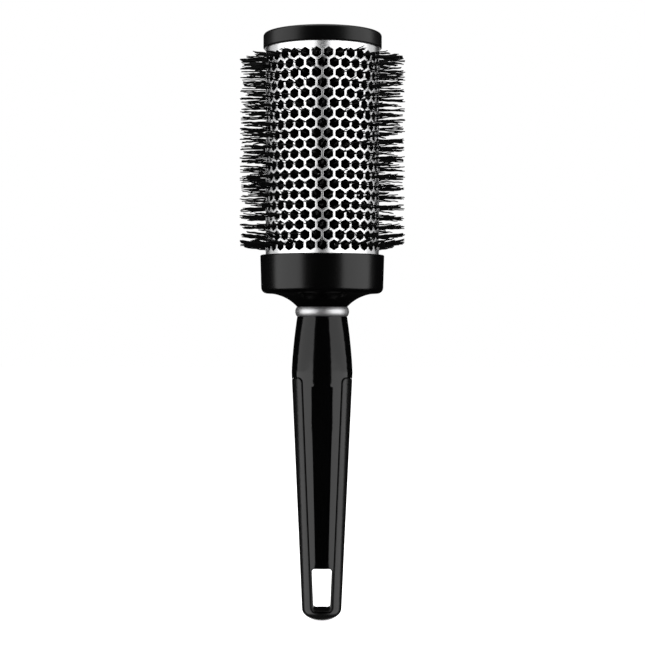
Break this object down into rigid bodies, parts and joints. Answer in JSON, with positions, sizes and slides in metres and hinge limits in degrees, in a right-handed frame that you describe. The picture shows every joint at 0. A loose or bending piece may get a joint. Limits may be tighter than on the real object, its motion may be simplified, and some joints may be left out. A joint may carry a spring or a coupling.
{
  "type": "round barrel hair brush",
  "caption": "Round thermal hair brush: a perforated metal barrel full of black bristles, between a flat cap and a wide collar, on a slim oval handle with a hanging slot.",
  "frame": {"origin": "on the brush's axis at the hanging end of the handle, which is the lowest point", "axes": "+Z along the axis from the handle to the end cap; the front of the grip faces -Y; +X to the right"},
  "size_m": [0.073, 0.0731, 0.2585],
  "materials": {
    "handle_plastic": "gloss",
    "grip_rubber": "satin",
    "ring_metal": "satin",
    "collar_plastic": "gloss",
    "barrel_aluminium": "satin",
    "cap_plastic": "satin",
    "stem_steel": "satin",
    "bush_plastic": "matte",
    "bristle_nylon": "satin"
  },
  "bodies": {
    "root": {"handle_core": "handle_plastic", "grip_skin": "grip_rubber", "neck_ring": "ring_metal", "collar": "collar_plastic", "barrel": "barrel_aluminium", "end_cap": "cap_plastic", "stem_wire_a": "stem_steel", "stem_wire_b": "stem_steel", "stem_ferrule": "stem_steel", "cap_bush": "bush_plastic", "bristle_row_01": "bristle_nylon", "bristle_row_02": "bristle_nylon", "bristle_row_03": "bristle_nylon", "bristle_row_04": "bristle_nylon", "bristle_row_05": "bristle_nylon", "bristle_row_06": "bristle_nylon", "bristle_row_07": "bristle_nylon", "bristle_row_08": "bristle_nylon", "bristle_row_09": "bristle_nylon", "bristle_row_10": "bristle_nylon", "bristle_row_11": "bristle_nylon", "bristle_row_12": "bristle_nylon", "bristle_row_13": "bristle_nylon", "bristle_row_14": "bristle_nylon", "bristle_row_15": "bristle_nylon", "bristle_row_16": "bristle_nylon", "bristle_row_17": "bristle_nylon", "bristle_row_18": "bristle_nylon", "bristle_row_19": "bristle_nylon", "bristle_row_20": "bristle_nylon"}
  },
  "joints": []
}
